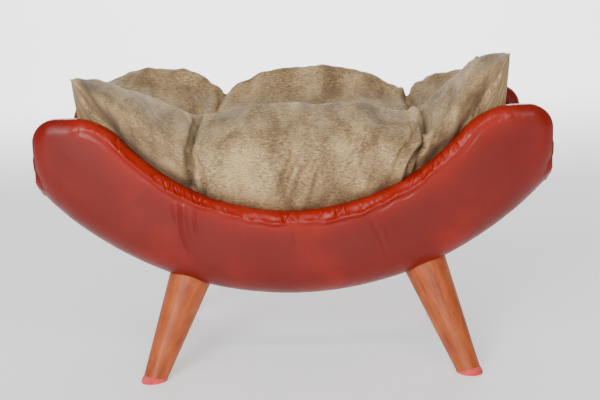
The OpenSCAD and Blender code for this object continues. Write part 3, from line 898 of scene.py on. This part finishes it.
def new_material(name):
    mat = bpy.data.materials.new(name)
    mat.use_nodes = True
    return mat, mat.node_tree, mat.node_tree.nodes["Principled BSDF"]


def put(tree, kind, **values):
    """A new node with its settings and inputs filled in; an underscore stands for a space."""
    node = tree.nodes.new("ShaderNode" + kind)
    for key, value in values.items():
        if hasattr(node, key):
            setattr(node, key, value)
        else:
            node.inputs[key.replace("_", " ")].default_value = value
    return node


def surface(shader, roughness, specular, **values):
    shader.inputs["Roughness"].default_value = roughness
    shader.inputs["Specular IOR Level"].default_value = specular
    for key, value in values.items():
        shader.inputs[key.replace("_", " ")].default_value = value


def ramp(tree, source, stops):
    node = put(tree, "ValToRGB")
    elements = node.color_ramp.elements
    while len(elements) < len(stops):
        elements.new(0.5)
    for element, (at, color) in zip(elements, stops):
        element.position = at
        element.color = (*color, 1)
    tree.links.new(source, node.inputs["Fac"])
    return node.outputs["Color"]


def bump(tree, shader, height, strength, distance, before=None):
    node = put(tree, "Bump", Strength=strength, Distance=distance)
    tree.links.new(height, node.inputs["Height"])
    if before is not None:
        tree.links.new(before.outputs["Normal"], node.inputs["Normal"])
    tree.links.new(node.outputs["Normal"], shader.inputs["Normal"])
    return node


def mapped(tree, source, scale, turn=(0, 0, 0), shift=(0, 0, 0)):
    node = put(tree, "Mapping", Scale=scale, Rotation=turn, Location=shift)
    tree.links.new(source, node.inputs["Vector"])
    return node.outputs["Vector"]


def position(tree, scale=(1, 1, 1), turn=(0, 0, 0), shift=(0, 0, 0)):
    """Object coordinates, turned and scaled: a texture that stays on the piece."""
    coord = put(tree, "TexCoord")
    return mapped(tree, coord.outputs["Object"], scale, turn, shift)


def clouds(tree, vector, scale, detail, **values):
    """Height of a noise texture."""
    node = put(tree, "TexNoise", Scale=scale, Detail=detail, **values)
    tree.links.new(vector, node.inputs["Vector"])
    return node.outputs["Fac"]


def attribute(tree, name):
    return put(tree, "Attribute", attribute_name=name).outputs["Fac"]


def blended(tree, a, b, share):
    """Two heights mixed, with that share of the second."""
    node = put(tree, "Mix", data_type="FLOAT")
    node.inputs["Factor"].default_value = share
    tree.links.new(a, node.inputs["A"])
    tree.links.new(b, node.inputs["B"])
    return node.outputs["Result"]


def tinted(tree, source, share, color):
    """The source colour, turned towards another where share is high."""
    node = put(tree, "Mix", data_type="RGBA")
    tree.links.new(share, node.inputs["Factor"])
    tree.links.new(source, node.inputs["A"])
    node.inputs["B"].default_value = (*color, 1)
    return node.outputs["Result"]


def gloss(tree, shader, source, low, high, **values):
    """Roughness from low to high as the source rises."""
    node = put(tree, "MapRange", To_Min=low, To_Max=high, **values)
    tree.links.new(source, node.inputs["Value"])
    tree.links.new(node.outputs["Result"], shader.inputs["Roughness"])


def leather(name, base, bright, dark, roughness=0.36):
    """Mottled, finely grained leather, with a painted highlight where the edge attribute is high: along the
    rolled rim.
    """
    mat, tree, shader = new_material(name)
    vector = position(tree)
    mottle = clouds(tree, vector, 9.0, 5.0, Roughness=0.6)
    colors = ramp(tree, mottle, [(0.25, dark), (0.52, base), (0.85, bright)])
    # painted highlight: the colour turns to the bright red where the edge attribute is high
    tree.links.new(tinted(tree, colors, attribute(tree, "edge"), bright), shader.inputs["Base Color"])
    grain = put(tree, "TexVoronoi", Scale=520.0, feature="DISTANCE_TO_EDGE")
    tree.links.new(vector, grain.inputs["Vector"])
    fine = clouds(tree, vector, 900.0, 3.0)
    slow = clouds(tree, vector, 55.0, 4.0, Roughness=0.6)
    first = bump(tree, shader, grain.outputs["Distance"], 0.16, 0.0004)
    second = bump(tree, shader, fine, 0.10, 0.0003, first)
    bump(tree, shader, slow, 0.22, 0.0012, second)
    surface(shader, roughness, 0.3)
    gloss(tree, shader, slow, roughness - 0.05, roughness + 0.1, From_Min=0.3, From_Max=0.7)
    return mat


def velvet(name, light, base, dark, shadow):
    """Crushed pile in short streaks along the cloth, with painted shade where the crease attribute is high:
    in the creases and just above the front rim.
    """
    mat, tree, shader = new_material(name)
    cloth = put(tree, "CombineXYZ")
    tree.links.new(attribute(tree, "cloth_u"), cloth.inputs["X"])
    tree.links.new(attribute(tree, "cloth_v"), cloth.inputs["Y"])

    def pattern(scale, turn, detail, **values):
        vector = mapped(tree, cloth.outputs["Vector"], scale, (0, 0, turn))
        return clouds(tree, vector, 1.0, detail, **values)

    streaks = pattern((210, 760, 1), 0.1, 1.0, Roughness=0.5, Distortion=1.2)
    crush = pattern((30, 16, 1), 0.3, 3.0, Roughness=0.5, Distortion=0.8)
    cloud = pattern((14, 8, 1), 0.0, 2.0)
    pile = blended(tree, blended(tree, streaks, crush, 0.42), cloud, 0.25)
    colors = ramp(tree, pile, [(0.405, dark), (0.5, base), (0.59, light)])
    # painted shade: the pile turns to the shadow colour where the crease attribute is high
    tree.links.new(tinted(tree, colors, attribute(tree, "crease"), shadow), shader.inputs["Base Color"])
    surface(shader, 0.62, 0.3, Sheen_Weight=0.12, Sheen_Roughness=0.5, Sheen_Tint=(0.95, 0.86, 0.72, 1))
    first = bump(tree, shader, streaks, 0.6, 0.0014)
    bump(tree, shader, crush, 0.5, 0.006, first)
    return mat


def wood(name, light, base, dark, turn, shift, roughness=0.5):
    """Grain runs along the texture's own Z, which turn lines up with the piece."""
    mat, tree, shader = new_material(name)
    vector = position(tree, turn=turn, shift=shift)
    long_grain = mapped(tree, vector, (95, 95, 7))
    grain = clouds(tree, long_grain, 1.0, 6.0, Roughness=0.62, Distortion=0.8)
    fine = clouds(tree, mapped(tree, vector, (520, 520, 30)), 1.0, 3.0, Roughness=0.6)
    blotch = clouds(tree, vector, 26.0, 3.0)
    fibres = blended(tree, grain, fine, 0.35)
    figure = blended(tree, fibres, blotch, 0.35)
    colors = ramp(tree, figure, [(0.36, dark), (0.5, base), (0.64, light)])
    tree.links.new(colors, shader.inputs["Base Color"])
    surface(shader, roughness, 0.3)
    bump(tree, shader, fibres, 0.25, 0.0006)
    return mat


def steel(name, base, roughness, scale):
    """Plated steel: fine scratches, darker and glossier in places."""
    mat, tree, shader = new_material(name)
    vector = position(tree, (scale, scale, scale * 0.15))
    scratch = clouds(tree, vector, 1.0, 4.0, Roughness=0.6)
    darker = tuple(0.6 * c for c in base)
    tree.links.new(ramp(tree, scratch, [(0.3, darker), (0.6, base)]), shader.inputs["Base Color"])
    gloss(tree, shader, scratch, roughness - 0.08, roughness + 0.12)
    shader.inputs["Metallic"].default_value = 1.0
    bump(tree, shader, scratch, 0.15, 0.0002)
    return mat


def plies(name, light, dark, curved):
    """Plywood: long grain on its faces, and thin layers that show on its edges."""
    mat, tree, shader = new_material(name)
    across = (1, 0, 1) if curved else (0, 1, 0)
    reach = put(tree, "VectorMath", operation="LENGTH")
    tree.links.new(position(tree, across, shift=(0, 0, -AXIS_Z * MM)), reach.inputs[0])
    layers = put(tree, "Math", operation="MULTIPLY")
    layers.inputs[1].default_value = 2 * math.pi / PLY_LAYER
    tree.links.new(reach.outputs["Value"], layers.inputs[0])
    wave = put(tree, "Math", operation="SINE")
    tree.links.new(layers.outputs["Value"], wave.inputs[0])
    long_grain = position(tree, (9, 120, 120))
    grain = clouds(tree, long_grain, 1.0, 5.0, Roughness=0.6, Distortion=0.6)
    layered = put(tree, "Math", operation="MULTIPLY_ADD")
    layered.inputs[1].default_value = 0.09
    tree.links.new(wave.outputs["Value"], layered.inputs[0])
    tree.links.new(grain, layered.inputs[2])
    colors = ramp(tree, layered.outputs["Value"], [(0.36, dark), (0.62, light)])
    tree.links.new(colors, shader.inputs["Base Color"])
    shader.inputs["Roughness"].default_value = 0.6
    bump(tree, shader, grain, 0.2, 0.0004)
    return mat


def felt(name, light, dark, scale, roughness=0.9, sheen=0.3):
    """Matted fibres: clumps and fine fuzz."""
    mat, tree, shader = new_material(name)
    vector = position(tree)
    fibre = clouds(tree, vector, scale, 5.0, Roughness=0.7, Distortion=2.0)
    clump = clouds(tree, vector, scale * 0.2, 2.0)
    mixed = blended(tree, fibre, clump, 0.4)
    colors = ramp(tree, mixed, [(0.38, dark), (0.62, light)])
    tree.links.new(colors, shader.inputs["Base Color"])
    surface(shader, roughness, 0.2, Sheen_Weight=sheen)
    bump(tree, shader, fibre, 0.6, 0.0006)
    return mat


# ---------- Scene, in metres ----------
CAMERA_PLACE = (0.043, -1.70, 0.500)
CAMERA_PITCH, CAMERA_YAW, CAMERA_ROLL = math.radians(10.1), math.radians(1.3), math.radians(-2.0)
LENS, SENSOR_WIDTH = 76.8, 36

# Lamps: name, place, what it points at, width and height, watts
LAMPS = [
    ("key", (-0.7, -2.6, 1.1), (0, 0, 0.27), (0.8, 0.5), 52),
    ("fill", (1.3, -2.2, 0.8), (0, 0, 0.2), (1.2, 1.0), 2),
    ("strip", (-0.1, -1.3, 1.2), (0, -0.1, 0.25), (2.0, 0.08), 13),
    ("back", (0.7, 1.9, 1.2), (0, 0, 0.2), (1.4, 1.0), 5),
    ("backdrop", (0, 2.6, 2.6), (0, 5.0, 1.4), (5.0, 1.0), 330),
]
WORLD_STRENGTH = 0.3
FLOOR_GLOW = 0.42


def linked(name, data):
    obj = bpy.data.objects.new(name, data)
    bpy.context.scene.collection.objects.link(obj)
    return obj


def camera():
    data = bpy.data.cameras.new("camera")
    data.lens = LENS
    data.sensor_width = SENSOR_WIDTH
    data.clip_start, data.clip_end = 0.05, 50
    cam = linked("camera", data)
    cam.location = CAMERA_PLACE
    level = math.cos(CAMERA_PITCH)
    look = Vector((-math.sin(CAMERA_YAW) * level, math.cos(CAMERA_YAW) * level, -math.sin(CAMERA_PITCH)))
    turn = look.to_track_quat("-Z", "Y").to_matrix().to_4x4() @ Matrix.Rotation(CAMERA_ROLL, 4, "Z")
    cam.rotation_mode = "QUATERNION"
    cam.rotation_quaternion = turn.to_quaternion()
    bpy.context.scene.camera = cam


def lights():
    world = bpy.data.worlds.new("studio")
    world.use_nodes = True
    world.node_tree.nodes["Background"].inputs["Color"].default_value = (1, 1, 1, 1)
    world.node_tree.nodes["Background"].inputs["Strength"].default_value = WORLD_STRENGTH
    bpy.context.scene.world = world
    for name, place, aim, size, watts in LAMPS:
        data = bpy.data.lights.new(name, "AREA")
        data.shape = "RECTANGLE"
        data.size, data.size_y = size
        data.energy = watts
        lamp = linked(name, data)
        lamp.location = place
        lamp.rotation_euler = (Vector(aim) - Vector(place)).to_track_quat("-Z", "Y").to_euler()


def floor():
    """A pale floor that curves up into a plain backdrop far behind."""
    half_w, front, bend_at, bend_r, height = 9.0, -9.0, 3.6, 1.6, 7.0
    angles = np.linspace(0, math.pi / 2, 24)
    bend = [(bend_at + bend_r * math.sin(a), bend_r * (1 - math.cos(a))) for a in angles]
    profile = [(front, 0.0)] + bend + [(bend_at + bend_r, height)]
    verts = [(x * half_w, y, z) for y, z in profile for x in (-1, 1)]
    faces = [(2 * i, 2 * i + 1, 2 * i + 3, 2 * i + 2) for i in range(len(profile) - 1)]
    data = bpy.data.meshes.new("floor")
    data.from_pydata(verts, [], faces)
    data.polygons.foreach_set("use_smooth", [True] * len(faces))
    obj = linked("floor", data)
    mat, _, shader = new_material("floor")
    shader.inputs["Base Color"].default_value = (0.92, 0.92, 0.92, 1)
    shader.inputs["Roughness"].default_value = 0.7
    shader.inputs["Emission Color"].default_value = (1, 1, 1, 1)
    shader.inputs["Emission Strength"].default_value = FLOOR_GLOW
    data.materials.append(mat)


def dress(obj, mat):
    obj.data.materials.clear()
    obj.data.materials.append(mat)


def finished(obj, mat, body, slot_name, *nodes):
    """Gives a new piece its material and body, and hides the CAD nodes it stands for."""
    dress(obj, mat)
    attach(obj, body)
    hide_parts(*nodes)


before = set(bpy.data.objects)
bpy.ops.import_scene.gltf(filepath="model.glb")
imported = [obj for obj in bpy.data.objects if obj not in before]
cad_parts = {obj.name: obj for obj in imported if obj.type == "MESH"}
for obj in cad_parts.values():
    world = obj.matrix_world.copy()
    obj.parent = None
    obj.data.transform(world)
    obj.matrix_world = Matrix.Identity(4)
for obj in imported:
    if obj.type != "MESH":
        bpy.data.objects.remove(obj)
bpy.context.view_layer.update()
camera()
lights()
floor()

RED = leather("shell_leather", (0.155, 0.0060, 0.0022), (0.31, 0.010, 0.0024), (0.118, 0.0056, 0.0030))
LINING_REDS = ((0.17, 0.0075, 0.0036), (0.24, 0.010, 0.004), (0.12, 0.006, 0.0036))
INNER_RED = leather("lining_leather", *LINING_REDS, 0.44)
# the last pile colour is the painted shade for the creases and just above the front rim
PILE = ((0.56, 0.395, 0.20), (0.31, 0.205, 0.098), (0.15, 0.092, 0.042), (0.05, 0.026, 0.018))
VELVET = velvet("velvet", *PILE)
CLOTH = felt("dust_cloth", (0.022, 0.022, 0.024), (0.009, 0.009, 0.010), 900.0, 0.85, 0.1)
PAD_FELT = felt("pad_felt", (0.85, 0.10, 0.09), (0.52, 0.048, 0.048), 700.0, 0.9, 0.1)
TWINE = felt("tie_cord", (0.34, 0.24, 0.14), (0.16, 0.10, 0.055), 1500.0, 0.8)
PLY = plies("wall_plywood", (0.52, 0.33, 0.17), (0.30, 0.165, 0.075), False)
BENT_PLY = plies("deck_plywood", (0.52, 0.33, 0.17), (0.30, 0.165, 0.075), True)
ALONG_Y = (math.pi / 2, 0, 0)
PINE = ((0.62, 0.42, 0.20), (0.47, 0.28, 0.12), (0.30, 0.155, 0.06))
BEECH = ((0.46, 0.25, 0.12), (0.33, 0.16, 0.07), (0.20, 0.09, 0.04))
LEG_WOOD = ((0.50, 0.125, 0.033), (0.36, 0.074, 0.018), (0.20, 0.034, 0.009))
SOFTWOOD = wood("softwood", *PINE, ALONG_Y, (0.1, 0.2, 0.3), 0.6)
HARDWOOD = wood("hardwood", *BEECH, ALONG_Y, (0.4, 0.1, 0.2), 0.55)
ZINC = steel("screw_zinc", (0.62, 0.60, 0.52), 0.34, 900.0)
STAPLE = steel("staple_steel", (0.60, 0.60, 0.60), 0.30, 1500.0)
BOLT = steel("bolt_steel", (0.50, 0.51, 0.54), 0.38, 700.0)

for side_name, side, seed in (("front", -1, 11), ("rear", 1, 29)):
    cover = wall_cover(side_name + "_wall_leather", side, seed)
    layers = [side_name + part for part in ("_cover", "_foam", "_edge_roll")]
    finished(cover, RED, "frame", "shell_leather", *layers)
    inner = lining(side_name + "_wall_lining", side, seed + 60)
    finished(inner, INNER_RED, "frame", "lining_leather", side_name + "_lining")

seat = deck_pad()
finished(seat, INNER_RED, "frame", "lining_leather", "deck_lining", "deck_foam")
for side_name, side in (("left", -1), ("right", 1)):
    cover = end_cover(side_name + "_end_leather", side)
    finished(cover, INNER_RED, "frame", "lining_leather", side_name + "_end_cover")
cloth = dust_cover()
finished(cloth, CLOTH, "frame", "dust_cloth", "dust_cover")

pillow, pillow_top = cushion()
finished(pillow, VELVET, "cushion", "velvet", "cushion_cover", "cushion_filling")
finished(tufting_ties(pillow_top), TWINE, "cushion", "tie_cord", "tuft_ties")

for y_name, side_y in (("front", -1), ("rear", 1)):
    for x_name, side_x in (("left", -1), ("right", 1)):
        corner = y_name + "_" + x_name
        along = Vector(leg_frame(side_x, side_y)[1])
        turn = along.rotation_difference(Vector((0, 0, 1))).to_euler()
        shift = (0.37 * side_x, 0.23 * side_y, 0.1 * side_x)
        dress(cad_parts["leg_" + corner], wood(corner + "_wood", *LEG_WOOD, turn, shift))
        pad = foot_pad("foot_felt_" + corner, side_x, side_y)
        finished(pad, PAD_FELT, "frame", "pad_felt", "foot_pad_" + corner)
        dress(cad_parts["leg_block_" + corner], HARDWOOD)

for name, mat in (("front_panel", PLY), ("rear_panel", PLY), ("deck_panel", BENT_PLY),
                  ("left_end_rail", SOFTWOOD), ("right_end_rail", SOFTWOOD), ("panel_screws", ZINC),
                  ("cover_staples", STAPLE), ("hanger_bolts", BOLT), ("tee_nuts", BOLT)):
    dress(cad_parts[name], mat)
